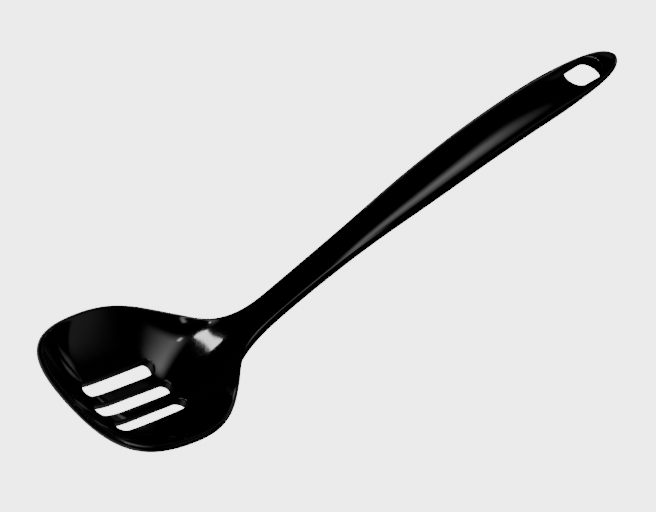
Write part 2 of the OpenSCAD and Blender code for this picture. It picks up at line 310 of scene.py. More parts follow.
class Skin:
    """The spoon's skin, as heights above and below a bent spine.

    A place on it has a station s along the spine, counted from the front of the lip, a distance y
    across it, and a height h square to it.
    """

    def __init__(self, sizes):
        self.__dict__.update(sizes)
        self.neck_at = self.bowl_widest + self.shoulder_len
        self.grip_at = self.neck_at + self.swell_len
        self.tip_at = self.grip_at + self.end_len
        self.hole_at = self.tip_at - self.hole_inset
        self.bend_from, self.bend_to = (self.on_shoulder(k) for k in BEND_SHARES)
        self.dish_from, self.dish_to = (self.on_shoulder(k) for k in DISH_SHARES)
        self.heel_to = self.on_shoulder(HEEL_SHARE)
        self.thick_from, self.thick_to = (self.on_shoulder(k) for k in THICK_SHARES)
        self.square_from = self.on_shoulder(SQUARE_SHARE)
        self.outline = soften(self.sharp_outline(), OUTLINE_SOFTNESS)
        fan = self.outline[self.outline[:, 0] < self.neck_at] - [self.bowl_widest, 0]
        self.fan_angles = np.arctan2(fan[:, 1], -fan[:, 0])
        self.fan_reaches = np.hypot(*fan.T)
        self.lay_on_table()

    def on_shoulder(self, part):
        return self.bowl_widest + part * self.shoulder_len

    def sharp_outline(self):
        """One side of the outline, from the front of the lip to the end of the handle."""
        wide, slim, broad = self.bowl_w / 2, self.neck_w / 2, self.grip_w / 2
        hollow = np.array([self.on_shoulder(HOLLOW_AT_SHARE), slim + (wide - slim) * HOLLOW_W_SHARE])
        along = self.shoulder_len * np.array([1, -HOLLOW_SLOPE])
        curves = (
            ((0, 0), (0, wide * FRONT_FULL_SHARE),
             (self.bowl_widest * (1 - SIDE_FULL_SHARE), wide), (self.bowl_widest, wide)),
            ((self.bowl_widest, wide), (self.on_shoulder(SHOULDER_RUN_SHARES[0]), wide),
             hollow - along * SHOULDER_RUN_SHARES[1], hollow),
            (hollow, hollow + along * NECK_RUN_SHARES[0],
             (self.neck_at - self.shoulder_len * NECK_RUN_SHARES[1], slim), (self.neck_at, slim)),
            ((self.neck_at, slim), (self.neck_at + self.swell_len * SWELL_RUN_SHARES[0], slim),
             (self.grip_at - self.swell_len * SWELL_RUN_SHARES[1], broad), (self.grip_at, broad)),
            ((self.grip_at, broad), (self.grip_at + self.end_len * END_RUN_SHARE, broad),
             (self.tip_at, broad * TIP_FULL_SHARE), (self.tip_at, 0)),
        )
        return np.vstack([bezier(c)[min(i, 1):] for i, c in enumerate(curves)])

    def half(self, s):
        """Half the width at a station."""
        return np.interp(s, *self.outline.T)

    def lay_on_table(self):
        """Bends the spine, and tips it until the bowl's end and the handle's end lie equally low."""
        self.grid = np.linspace(0, self.tip_at, SPINE_POINTS)
        step = self.grid[1]

        def begun(at):
            return ease((self.grid - at + BEND_SOFTNESS) / (2 * BEND_SOFTNESS))

        bend = self.neck_angle / (self.bend_to - self.bend_from)
        arch = self.arch_angle / (self.tip_at - self.bend_to)
        bending = bend * (begun(self.bend_from) - begun(self.bend_to)) - arch * begun(self.bend_to)
        self.turns = np.concatenate([[0], np.cumsum((bending[1:] + bending[:-1]) / 2 * step)])
        belly = -self.under(self.grid, np.zeros_like(self.grid))
        bowl_side = self.grid < (self.neck_at + self.grip_at) / 2
        low, high = np.radians(REST_RANGE)
        for _ in range(HALVINGS):
            self.rest = (low + high) / 2
            slope = self.rest + self.turns
            run, rise = np.cos(slope) * step, np.sin(slope) * step
            self.spine_x = np.concatenate([[0], np.cumsum((run[1:] + run[:-1]) / 2)])
            self.spine_z = np.concatenate([[0], np.cumsum((rise[1:] + rise[:-1]) / 2)])
            under = self.spine_z - belly * np.cos(slope)
            if under[bowl_side].min() > under[~bowl_side].min():
                low = self.rest
            else:
                high = self.rest

    def place(self, s, y, h):
        """Points in space."""
        slope = self.rest + np.interp(s, self.grid, self.turns)
        x = np.interp(s, self.grid, self.spine_x) - h * np.sin(slope)
        z = np.interp(s, self.grid, self.spine_z) + h * np.cos(slope)
        return np.stack(np.broadcast_arrays(x, y, z), -1)

    def along(self, s, bowl, neck, grip, end, start, stop):
        """A size that changes from the bowl (between two stations) to the neck, the grip and the end."""
        before = blend(bowl, neck, start, stop, s)
        after = blend(neck, grip, self.neck_at, self.grip_at, s)
        after = after + blend(0, end - grip, self.grip_at, self.hole_at, s)
        return np.where(s <= self.neck_at, before, after)

    def end_taper(self, s):
        past = np.maximum(0, s - self.tip_at + self.end_round) / self.end_round
        return np.sqrt(np.maximum(0, 1 - past ** 2))

    def thickness(self, s):
        return self.end_taper(s) * self.along(
            s, self.floor_t, self.neck_t, self.grip_t, self.end_t, self.thick_from, self.thick_to)

    def rise(self, s, stop):
        """Height of a middle line that climbs from the bowl to the neck and follows the handle's crown."""
        return self.end_taper(s) * self.along(
            s, -self.bowl_depth, self.neck_crown, CROWN_SHARE * self.grip_t, CROWN_SHARE * self.end_t,
            self.dish_from, stop)

    def crown(self, s):
        return self.rise(s, self.dish_to)

    def belly(self, s):
        """Depth of the underside's middle line: the heel below the saddle rises later than the dish."""
        return self.thickness(s) - self.rise(s, self.heel_to)

    def edge_w(self, s):
        wide = self.along(s, self.lip_w, self.neck_edge_w, self.grip_edge_w, self.grip_edge_w,
                          self.dish_from, self.neck_at)
        return np.minimum(wide, self.half(s) / 2)

    def edge_h(self, s):
        return self.end_taper(s) * self.along(
            s, self.lip_h, self.neck_edge_h, self.grip_edge_h, self.grip_edge_h, self.dish_from, self.neck_at)

    def tuck(self, s):
        """How far the edge turns in again below: fully round the bowl, not at all on the handle."""
        return blend(1, 0, self.square_from, self.neck_at, s)

    def top_root(self, s):
        return blend(1, ROUND_POWER, self.neck_at, self.grip_at, s)

    def top_power(self, s):
        return blend(DISH_POWER, ROUND_POWER, self.dish_from, self.neck_at, s)

    def under_power(self, s):
        return self.along(s, DISH_POWER, NECK_POWER, ROUND_POWER, ROUND_POWER, self.square_from, self.neck_at)

    def under_root(self, s):
        return self.along(s, 1, NECK_POWER, ROUND_POWER, ROUND_POWER, self.square_from, self.neck_at)

    def fan_weight(self, s):
        """1 where the bowl is drawn as a fan round its widest place, 0 where it has cross sections."""
        return 1 - ease((s - self.bowl_widest + FAN_BLEND) / (2 * FAN_BLEND))

    def share(self, s, y, tuck=1):
        """How far a place lies from the middle to the inside of the edge, and how far it faces forward."""
        ahead, aside = self.bowl_widest - s, np.abs(y)
        reach = np.interp(np.arctan2(aside, ahead), self.fan_angles, self.fan_reaches)
        fan = np.hypot(ahead, aside) / (reach - self.lip_w)
        across = aside / np.maximum(self.half(s) - tuck * self.edge_w(s), TIP_LEFT)
        weight = self.fan_weight(s)
        fore = weight * ahead ** 2 / np.maximum(ahead ** 2 + aside ** 2, TIP_LEFT ** 2)
        return np.minimum(fan * weight + across * (1 - weight), 1), fore

    def top(self, s, y):
        """Height of the upper face."""
        e, fore = self.share(s, y)
        power = self.top_power(s) + (FRONT_POWER - DISH_POWER) * fore
        return self.crown(s) * (1 - e ** power) ** (1 / self.top_root(s))

    def under(self, s, y):
        """Height of the lower face."""
        tuck = self.tuck(s)
        e, fore = self.share(s, y, tuck)
        power = self.under_power(s) + (FRONT_POWER - DISH_POWER) * fore
        edge = self.edge_h(s) / 2 * (1 + tuck)
        return -edge - (self.belly(s) - edge) * (1 - e ** power) ** (1 / self.under_root(s))


class Rows:
    """Half sections of the skin, from the middle of the upper face round the edge to the lower face.

    The columns TOP_REACH and UNDER_REACH bound the floor of the bowl and the ground of the hanging
    hole, and LIP_TOP and LIP_UNDER bound the lip.
    """

    TOP_REACH = REACH_STEPS
    LIP_TOP = TOP_REACH + SIDE_STEPS
    LIP_UNDER = LIP_TOP + 2 * EDGE_STEPS
    UNDER_REACH = LIP_UNDER + SIDE_STEPS
    LAST = UNDER_REACH + REACH_STEPS

    def __init__(self, skin, start, direction, reach, reach_share):
        """One row for each station that a section starts from, its direction and its reach."""
        self.skin, self.start, self.direction = skin, start, direction
        inside = self.inside(reach)
        edge = reach - inside
        e = self.shares(reach_share)
        top_d = inside[:, None] * e
        s, y = self.across(top_d)
        top_h = skin.top(s, y)
        tuck, edge_h = skin.tuck(start)[:, None], skin.edge_h(start)[:, None]
        steps = np.linspace(0, 1, EDGE_STEPS * SUB_STEPS + 1)[1:]
        down, back = np.pi / 2 * steps, np.pi / 2 * steps[:-1]
        w = edge[:, None]
        upper_d, upper_h = inside[:, None] + w * np.sin(down), edge_h / 2 * (np.cos(down) - 1)
        lower_d = inside[:, None] + w * (1 - tuck) + w * tuck * np.cos(back)
        lower_h = -edge_h / 2 * (1 + tuck * np.sin(back))
        under_reach = inside + edge * (1 - tuck[:, 0])
        under_d = under_reach[:, None] * e[:, ::-1]
        s, y = self.across(under_d)
        under_h = skin.under(s, y)
        self.d, self.h = self.softened(
            np.hstack([top_d, upper_d, lower_d, under_d]), np.hstack([top_h, upper_h, lower_h, under_h]),
            np.minimum(EDGE_SOFTNESS, EDGE_SOFT_SHARE * reach))

    def across(self, d):
        """Stations and distances across, at distances along the rows."""
        return self.start[:, None] + d * self.direction[:, :1], d * self.direction[:, 1:]

    def inside(self, reach):
        """The distance to the inside of the edge, found by halving."""
        low, high = reach / 2, reach.copy()
        for _ in range(HALVINGS):
            mid = (low + high) / 2
            s, y = self.across(mid[:, None])
            within = self.skin.share(s, y)[0][:, 0] < 1
            low, high = np.where(within, mid, low), np.where(within, high, mid)
        return low

    @staticmethod
    def shares(reach_share):
        """Shares of the way to the edge, finer towards it, with a step at the reach of the floor."""
        turn = np.arcsin(reach_share)[:, None]
        first = np.linspace(0, 1, REACH_STEPS * SUB_STEPS + 1)
        second = np.linspace(0, 1, SIDE_STEPS * SUB_STEPS + 1)[1:]
        return np.sin(np.hstack([turn * first, turn + (np.pi / 2 - turn) * second]))

    @staticmethod
    def softened(d, h, sigma):
        """The rows' own points, each moved to the mean of its close neighbours on the fine line."""
        pad = 2 * SUB_STEPS * SIDE_STEPS
        d = np.hstack([-d[:, pad:0:-1], d, -d[:, -2:-pad - 2:-1]])
        h = np.hstack([h[:, pad:0:-1], h, h[:, -2:-pad - 2:-1]])
        run = np.hstack([np.zeros((len(d), 1)), np.cumsum(np.hypot(np.diff(d), np.diff(h)), 1)])
        width = np.gradient(run, axis=1)
        kept = np.arange(pad, d.shape[1] - pad, SUB_STEPS)
        out_d, out_h = np.empty((2, len(d), len(kept)))
        for i in range(len(d)):
            gap = (run[i, kept][:, None] - run[i]) / sigma[i]
            weight = np.exp(-0.5 * gap ** 2) * width[i]
            weight /= weight.sum(1, keepdims=True)
            out_d[i], out_h[i] = weight @ d[i], weight @ h[i]
        return out_d, out_h

    def flat(self):
        """Station and distance across of each point."""
        return self.across(self.d)

    def points(self, side):
        s, y = self.flat()
        return self.skin.place(s, side * y, self.h)


class Oblong:
    """A hole with round ends, which runs along the spine from one station to another."""

    def __init__(self, start, stop, across, width, roll):
        self.y, self.radius, self.roll = across, width / 2, roll
        self.ends = start + self.radius, stop - self.radius
        straight = max(2, round((self.ends[1] - self.ends[0]) / STRAIGHT_STEP))
        side = np.linspace(0, 1, straight + 1)[1:-1]
        turn = np.pi * np.linspace(-0.5, 0.5, ROUND_STEPS + 1)
        back, front = self.ends[1], self.ends[0]
        self.s = np.concatenate([np.full(len(turn), back), back + (front - back) * side,
                                 np.full(len(turn), front), front + (back - front) * side])
        angles = np.concatenate([turn, np.full(len(side), np.pi / 2), turn + np.pi,
                                 np.full(len(side), -np.pi / 2)])
        self.normal = np.stack([np.cos(angles), np.sin(angles)], -1)

    def ring(self, out):
        """Stations and distances across, of the outline moved outwards."""
        reach = self.radius + out
        return self.s + reach * self.normal[:, 0], self.y + reach * self.normal[:, 1]

    def distance(self, s, y):
        """How far places lie outside the outline."""
        return np.hypot(s - np.clip(s, *self.ends), y - self.y) - self.radius


class Moulding:
    """The whole skin as one mesh, whose faces are marked with the piece that they belong to."""

    def __init__(self, sizes):
        self.skin = Skin(sizes)
        self.points, self.faces, self.walls = [], {}, {}
        self.count = 0
        self.fixed_normals = {}
        self.lay_rows()
        self.sew_rows()
        self.make_floor()
        self.make_hole_ground()
        self.close_tip()
        self.wall_off()
        self.finish()

    def add(self, points):
        """Adds points and returns their numbers."""
        points = np.asarray(points, float).reshape(-1, 3)
        self.points.append(points)
        self.count += len(points)
        return np.arange(self.count - len(points), self.count)

    def face(self, piece, corners, store=None):
        (self.faces if store is None else store).setdefault(piece, []).append(tuple(int(c) for c in corners))

    def lay_rows(self):
        """Lays the rows of both sides, which share the points in the middle plane."""
        skin = self.skin
        bowl_end = skin.on_shoulder(BOWL_END_SHARE)
        stem_end = skin.neck_at + STEM_END_SHARE * skin.swell_len
        grip_end = skin.grip_at + GRIP_END_SHARE * skin.end_len
        margin = skin.hole_roll + 2 * ROW_STEP
        half_hole = skin.hole_l / 2 + margin
        marks = [skin.bowl_widest, skin.on_shoulder(FLOOR_END_SHARE), bowl_end, skin.neck_at, stem_end,
                 grip_end, skin.hole_at - half_hole, skin.hole_at + half_hole]
        stations, at = [np.array(marks[:1])], [0]
        for start, stop in zip(marks, marks[1:]):
            steps = round((stop - start) / ROW_STEP)
            stations.append(np.linspace(start, stop, steps + 1)[1:])
            at.append(at[-1] + steps)
        last = math.sqrt(TIP_LEFT / (skin.tip_at - marks[-1]))
        left = 1 - np.linspace(0, 1, TIP_STEPS + 1)[1:] * (1 - last)
        end = skin.outline[-1, 0]
        stations.append(end - (end - marks[-1]) * left ** 2)
        s = np.concatenate(stations)
        self.floor_row, self.bowl_row, self.neck_row, self.stem_row, self.grip_row, hole_row, hole_end = (
            FAN_STEPS + n for n in at[1:])
        self.hole_rows = hole_row, hole_end
        ahead = skin.outline[skin.outline[:, 0] <= skin.bowl_widest]
        run = arc_lengths(ahead)
        rim = np.stack([np.interp(np.linspace(0, run[-1], FAN_STEPS + 1)[:-1], run, c) for c in ahead.T], -1)
        rim[0] = ahead[0, 0], 0
        rays = rim - [skin.bowl_widest, 0]
        reach = np.concatenate([np.hypot(*rays.T), skin.half(s)])
        direction = np.vstack([rays / reach[:FAN_STEPS, None], np.tile([0.0, 1.0], (len(s), 1))])
        start = np.concatenate([np.full(FAN_STEPS, skin.bowl_widest), s])
        reach_share = blend(FLOOR_REACH_SHARE, END_REACH_SHARE, skin.neck_at, skin.grip_at, start)
        self.rows = Rows(skin, start, direction, reach, reach_share)
        self.right = self.add(self.rows.points(1)).reshape(self.rows.d.shape)
        self.left = self.add(self.rows.points(-1)).reshape(self.rows.d.shape)
        self.left[0] = self.right[0]
        self.left[:, 0], self.left[:, Rows.LAST] = self.right[:, 0], self.right[:, Rows.LAST]

    def piece_at(self, row, column):
        """The piece that the skin belongs to, between a row and the next."""
        if row < self.bowl_row:
            return "rim" if Rows.LIP_TOP <= column < Rows.LIP_UNDER else "bowl"
        ends = (self.neck_row, "neck"), (self.stem_row, "stem"), (self.grip_row, "grip")
        return next((name for end, name in ends if row < end), "hanging_end")

    def sew_rows(self):
        """Faces between neighbouring rows, apart from the floor of the bowl and the ground of the hole."""
        for row in range(len(self.right) - 1):
            open_middle = row < self.floor_row or self.hole_rows[0] <= row < self.hole_rows[1]
            columns = range(Rows.TOP_REACH, Rows.UNDER_REACH) if open_middle else range(Rows.LAST)
            for j in columns:
                piece = self.piece_at(row, j)
                for ids, order in ((self.right, 1), (self.left, -1)):
                    quad = ids[row, j], ids[row + 1, j], ids[row + 1, j + 1], ids[row, j + 1]
                    self.face(piece, quad[::order])

    def make_floor(self):
        """The slotted floor of the bowl."""
        skin = self.skin
        slots = []
        for across in (-1, 0, 1):
            first = skin.slot_front + skin.slot_front_offset * abs(across)
            last = skin.slot_front + skin.slot_len - skin.slot_back_offset * abs(across)
            slots.append(Oblong(first, last, across * skin.slot_pitch, skin.slot_w, skin.slot_roll))
        self.make_ground("bowl", range(self.floor_row, -1, -1), self.floor_row, None, slots)

    def make_hole_ground(self):
        """The ground of the hanging hole."""
        skin = self.skin
        start, stop = skin.hole_at - skin.hole_l / 2, skin.hole_at + skin.hole_l / 2
        hole = Oblong(start, stop, 0, skin.hole_w, skin.hole_roll)
        first, last = self.hole_rows
        self.make_ground("hanging_end", range(last, first - 1, -1), last, first, [hole])

    def make_ground(self, piece, side_rows, back_row, front_row, holes):
        """Upper and lower face of a stretch with holes, between the rows round it."""
        s, y = self.rows.flat()
        middle = Rows.TOP_REACH
        loop = [(1, r, middle) for r in side_rows]
        if front_row is None:
            loop += [(-1, r, middle) for r in reversed(side_rows) if r > 0]
        else:
            loop += [(1, front_row, j) for j in range(middle - 1, 0, -1)]
            loop += [(-1, front_row, j) for j in range(0, middle)]
            loop += [(-1, r, middle) for r in reversed(side_rows)]
        loop += [(-1, back_row, j) for j in range(middle - 1, 0, -1)]
        loop += [(1, back_row, j) for j in range(0, middle)]
        border = np.array([(s[r, j], side * y[r, j]) for side, r, j in loop])
        ids = {1: self.right, -1: self.left}
        upper = [ids[side][r, j] for side, r, j in loop]
        lower = [ids[side][r, Rows.LAST - j] for side, r, j in loop]
        flats, rings = [border], []
        for hole in holes:
            flats.append(np.stack(hole.ring(hole.roll), -1))
            rings.append(self.make_hole_wall(piece, hole))
        flats.append(self.inner_points(border, holes))
        flat = np.vstack(flats)
        inner_s, inner_y = flats[-1].T
        above = self.add(self.skin.place(inner_s, inner_y, self.skin.top(inner_s, inner_y)))
        below = self.add(self.skin.place(inner_s, inner_y, self.skin.under(inner_s, inner_y)))
        upper = np.concatenate([upper] + [r[0] for r in rings] + [above])
        lower = np.concatenate([lower] + [r[1] for r in rings] + [below])
        edges, first = [], 0
        for ring in flats[:-1]:
            n = len(ring)
            edges += [(first + i, first + (i + 1) % n) for i in range(n)]
            first += n
        for triangle in self.triangles(flat, edges, border, holes):
            self.face(piece, upper[triangle])
            self.face(piece, lower[triangle[::-1]])
        self.fix_normals(upper[len(border):], flat[len(border):], self.skin.top, 1)
        self.fix_normals(lower[len(border):], flat[len(border):], self.skin.under, -1)

    @staticmethod
    def inner_points(border, holes):
        """Evenly set points inside a border and outside its holes."""
        low, high = border.min(0), border.max(0)
        steps = np.ceil((high - low) / FLOOR_STEP).astype(int)
        axes = (np.linspace(a, b, n + 1) for a, b, n in zip(low, high, steps))
        grid = np.stack(np.meshgrid(*axes, indexing="ij"), -1).reshape(-1, 2)
        clear = FLOOR_CLEAR_SHARE * FLOOR_STEP
        kept = np.ones(len(grid), bool)
        for hole in holes:
            kept &= hole.distance(*grid.T) > hole.roll + clear
        ahead = np.roll(border, -1, 0) - border
        for i, p in enumerate(grid):
            if kept[i]:
                gap = p - border
                along = np.clip((gap * ahead).sum(1) / np.maximum((ahead ** 2).sum(1), TIP_LEFT ** 2), 0, 1)
                kept[i] = np.hypot(*(gap - along[:, None] * ahead).T).min() > clear and encloses(border, p)
        return grid[kept]

    @staticmethod
    def triangles(flat, edges, border, holes):
        """Triangles between the points of a flat, without those that lie in a hole or past the border."""
        places = [Vector(p) for p in flat / FLOOR_STEP]
        _, _, faces, origins, _, _ = delaunay_2d_cdt(places, edges, [], MESH_INSIDE, MESH_CLOSENESS)
        for corners in faces:
            ids = np.array([origins[c][0] for c in corners])
            a, b, c = flat[ids]
            middle = (a + b + c) / 3
            if min(hole.distance(*middle) - hole.roll for hole in holes) < 0 or not encloses(border, middle):
                continue
            area = (b[0] - a[0]) * (c[1] - a[1]) - (b[1] - a[1]) * (c[0] - a[0])
            yield ids if area > 0 else ids[::-1]

    def make_hole_wall(self, piece, hole):
        """The wall of a hole with its rounded edges, and the rings where it meets the two faces."""
        skin = self.skin
        angles = np.pi / 2 * np.linspace(0, 1, ROLL_STEPS + 1)
        rings, leans = [], []
        for face, up, turn in ((skin.top, 1, angles), (skin.under, -1, angles[::-1])):
            for a in turn:
                s, y = hole.ring(hole.roll * (1 - np.sin(a)))
                h = face(s, y) - up * hole.roll * (1 - np.cos(a))
                rings.append((s, y, h))
                leans.append((up * np.cos(a), np.sin(a)))
        split = ROLL_STEPS + 1
        top_ring, under_ring = rings[split - 1], rings[split]
        parts = np.linspace(0, 1, WALL_STEPS + 1)[1:-1]
        rings[split:split] = [tuple(a + (b - a) * t for a, b in zip(top_ring, under_ring)) for t in parts]
        leans[split:split] = [(0, 1)] * len(parts)
        ids = [self.add(skin.place(*ring)) for ring in rings]
        for i, ((s, y, h), (up, inward)) in enumerate(zip(rings, leans)):
            slope = skin.rest + np.interp(s, skin.grid, skin.turns)
            square = np.stack([-np.sin(slope), 0 * slope, np.cos(slope)], -1)
            along = np.stack([np.cos(slope), 0 * slope, np.sin(slope)], -1)
            out = along * hole.normal[:, :1] + np.array([0, 1, 0]) * hole.normal[:, 1:]
            for number, normal in zip(ids[i], square * up - out * inward):
                self.fixed_normals[number] = normal
        for above, below in zip(ids, ids[1:]):
            for i in range(len(above)):
                j = (i + 1) % len(above)
                self.face(piece, (above[i], above[j], below[j], below[i]))
        return ids[0], ids[-1]

    def fix_normals(self, ids, flat, face, up):
        """Exact normals of a face at given places."""
        s, y = flat.T

        def place(ds, dy):
            return self.skin.place(s + ds, y + dy, face(s + ds, y + dy))

        along = place(SLOPE_STEP, 0) - place(-SLOPE_STEP, 0)
        across = place(0, SLOPE_STEP) - place(0, -SLOPE_STEP)
        for number, normal in zip(ids, np.cross(along, across) * up):
            self.fixed_normals[number] = normal

    def loop(self, row):
        """The points of one section, all the way round."""
        return np.concatenate([self.right[row], self.left[row, -2:0:-1]])

    def close_tip(self):
        """Draws the last section together at the end of the handle."""
        tip = self.add(self.skin.place(self.skin.outline[-1, 0], 0.0, 0.0))[0]
        ring = self.loop(-1)
        for a, b in zip(ring, np.roll(ring, -1)):
            self.face("hanging_end", (a, tip, b))

    def wall_off(self):
        """Walls inside the moulding, which close each piece where the next begins."""
        for row in range(self.bowl_row):
            for ids, order in ((self.right, 1), (self.left, -1)):
                wall = (ids[row, Rows.LIP_TOP], ids[row + 1, Rows.LIP_TOP],
                        ids[row + 1, Rows.LIP_UNDER], ids[row, Rows.LIP_UNDER])
                self.face("bowl", wall[::order], self.walls)
                self.face("rim", wall[::-order], self.walls)
        end = self.bowl_row
        for ids, order in ((self.right, 1), (self.left, -1)):
            self.face("rim", ids[end, Rows.LIP_TOP:Rows.LIP_UNDER + 1][::order], self.walls)
        inner = np.concatenate([
            self.right[end, :Rows.LIP_TOP + 1], self.right[end, Rows.LIP_UNDER:],
            self.left[end, Rows.LAST - 1:Rows.LIP_UNDER - 1:-1], self.left[end, Rows.LIP_TOP:0:-1]])
        self.face("bowl", inner, self.walls)
        pairs = ((None, "neck", self.bowl_row), ("neck", "stem", self.neck_row),
                 ("stem", "grip", self.stem_row), ("grip", "hanging_end", self.grip_row))
        for before, after, row in pairs:
            ring = self.loop(row)
            if before:
                self.face(before, ring, self.walls)
            self.face(after, ring[::-1], self.walls)

    def finish(self):
        """Moves the spoon onto the table's middle and works out its normals."""
        self.points = np.vstack(self.points)
        used = np.unique(np.concatenate([np.concatenate(f) for f in self.faces.values()]))
        low, high = self.points[used].min(0), self.points[used].max(0)
        self.points -= [(low[0] + high[0]) / 2, 0, low[2]]
        self.normals = np.zeros_like(self.points)
        for faces in self.faces.values():
            for corners in faces:
                p = self.points[list(corners)]
                square = np.cross(p[1] - p[0], p[-1] - p[0]) + np.cross(p[2] - p[1], p[0] - p[1])
                self.normals[list(corners)] += square
        for number, normal in self.fixed_normals.items():
            self.normals[number] = normal
        self.normals /= np.maximum(np.linalg.norm(self.normals, axis=1, keepdims=True), 1e-30)


def encloses(border, p):
    """Whether a closed line of points runs round a place."""
    a, b = border, np.roll(border, -1, 0)
    spans = (a[:, 1] > p[1]) != (b[:, 1] > p[1])
    a, b = a[spans], b[spans]
    crossings = a[:, 0] + (p[1] - a[:, 1]) / (b[:, 1] - a[:, 1]) * (b[:, 0] - a[:, 0])
    return np.count_nonzero(p[0] < crossings) % 2 == 1


@lru_cache(maxsize=1)
def moulding_of(sizes):
    """The moulding for a set of sizes, made once."""
    return Moulding(dict(sizes))


def current_moulding(context):
    sizes = context.scene.spoon_sizes
    return moulding_of(tuple((name, getattr(sizes, name)) for name in SpoonSizes.__annotations__))


def build_piece(context, node):
    """One piece of the moulding, in the place of a CAD node."""
    moulding = current_moulding(context)
    shown, hidden = moulding.faces[node], moulding.walls[node]
    faces = shown + hidden
    used = np.unique(np.concatenate([np.array(f) for f in faces]))
    number = {int(old): new for new, old in enumerate(used)}
    mesh = bpy.data.meshes.new(f"spoon_{node}")
    mesh.from_pydata(moulding.points[used].tolist(), [], [[number[c] for c in f] for f in faces])
    mesh.polygons.foreach_set("use_smooth", [True] * len(shown) + [False] * len(hidden))
    normals = [moulding.normals[c] for f in shown for c in f]
    normals += [mesh.polygons[len(shown) + i].normal for i, f in enumerate(hidden) for _ in f]
    mesh.normals_split_custom_set([tuple(n) for n in normals])
    mesh.materials.append(black_gloss(context))
    piece = bpy.data.objects.new(f"spoon_{node}", mesh)
    context.scene.collection.objects.link(piece)
    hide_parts(node)
    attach(piece, BODY)
    return piece


class Socket:
    """A shader socket that can be reckoned with like a number."""

    def __init__(self, tree, output):
        self.tree, self.output = tree, output

    @classmethod
    def of(cls, tree, kind, settings=None, inputs=None, output=0):
        """Adds a node, sets it up, fills or links its inputs, and returns one of its outputs."""
        node = tree.nodes.new(kind)
        for name, value in (settings or {}).items():
            setattr(node, name, value)
        for name, value in (inputs or {}).items():
            if isinstance(value, cls):
                tree.links.new(value.output, node.inputs[name])
            else:
                node.inputs[name].default_value = value
        return cls(tree, node.outputs[output]) if node.outputs else None

    def math(self, operation, *values):
        return self.of(self.tree, "ShaderNodeMath", {"operation": operation}, dict(enumerate(values)))

    def __add__(self, other):
        return self.math("ADD", self, other)

    __radd__ = __add__

    def __sub__(self, other):
        return self.math("SUBTRACT", self, other)

    def __rsub__(self, other):
        return self.math("SUBTRACT", other, self)

    def __mul__(self, other):
        return self.math("MULTIPLY", self, other)

    __rmul__ = __mul__

    def step(self, start, end):
        """A smooth step from 0 to 1 between two values."""
        return self.of(self.tree, "ShaderNodeMapRange", {"interpolation_type": "SMOOTHSTEP"},
                       {"Value": self, "From Min": start, "From Max": end})


def black_gloss(context):
    """Glossy black moulded plastic, slightly uneven and faintly scuffed by use."""
    name = "black_gloss_plastic"
    if name in bpy.data.materials:
        return bpy.data.materials[name]
    finish = context.scene.spoon_finish
    material = bpy.data.materials.new(name)
    material.use_nodes = True
    tree = material.node_tree
    tree.nodes.clear()
    place = Socket.of(tree, "ShaderNodeTexCoord", output="Object")

    def noise(scale, detail, stretch=(1, 1, 1)):
        at = Socket.of(tree, "ShaderNodeMapping", inputs={"Vector": place, "Scale": stretch})
        return Socket.of(
            tree, "ShaderNodeTexNoise", inputs={"Vector": at, "Scale": scale, "Detail": detail})

    marks = noise(*CLOUDS) * (1 - SCUFF_SHARE) + noise(*SCUFFS, SCUFF_STRETCH) * SCUFF_SHARE
    wear = marks.step(*WEAR_RANGE)
    tone = Socket.of(
        tree, "ShaderNodeMix", {"data_type": "RGBA"},
        {"Factor": wear, MIX_A: (*finish.black, 1), MIX_B: (*finish.worn_black, 1)}, output=MIX_RESULT)
    roughness = finish.gloss_roughness + wear * (finish.worn_roughness - finish.gloss_roughness)
    bump = Socket.of(tree, "ShaderNodeBump", inputs={
        "Strength": RIPPLE_STRENGTH, "Distance": RIPPLE_DEPTH, "Height": noise(*RIPPLE)})
    gloss = Socket.of(tree, "ShaderNodeBsdfPrincipled", inputs={
        "Base Color": tone, "Roughness": roughness, "IOR": PLASTIC_IOR, "Normal": bump})
    Socket.of(tree, "ShaderNodeOutputMaterial", inputs={"Surface": gloss})
    return material


class PieceOperator:
    """What the operators that make pieces share."""

    bl_options = {"REGISTER", "UNDO"}
    nodes = ()

    def execute(self, context):
        for node in self.nodes:
            build_piece(context, node)
        return {"FINISHED"}


class SPOON_OT_bowl(PieceOperator, bpy.types.Operator):
    """Make the slotted dish of the bowl"""

    bl_idname = "spoon.bowl"
    bl_label = "Bowl"
    nodes = ("bowl",)


class SPOON_OT_rim(PieceOperator, bpy.types.Operator):
    """Make the lip round the bowl"""

    bl_idname = "spoon.rim"
    bl_label = "Rim"
    nodes = ("rim",)


class SPOON_OT_handle(PieceOperator, bpy.types.Operator):
    """Make the neck, the stem and the grip"""

    bl_idname = "spoon.handle"
    bl_label = "Handle"
    nodes = ("neck", "stem", "grip")


class SPOON_OT_hanging_end(PieceOperator, bpy.types.Operator):
    """Make the end of the handle with its hanging hole"""

    bl_idname = "spoon.hanging_end"
    bl_label = "Hanging end"
    nodes = ("hanging_end",)


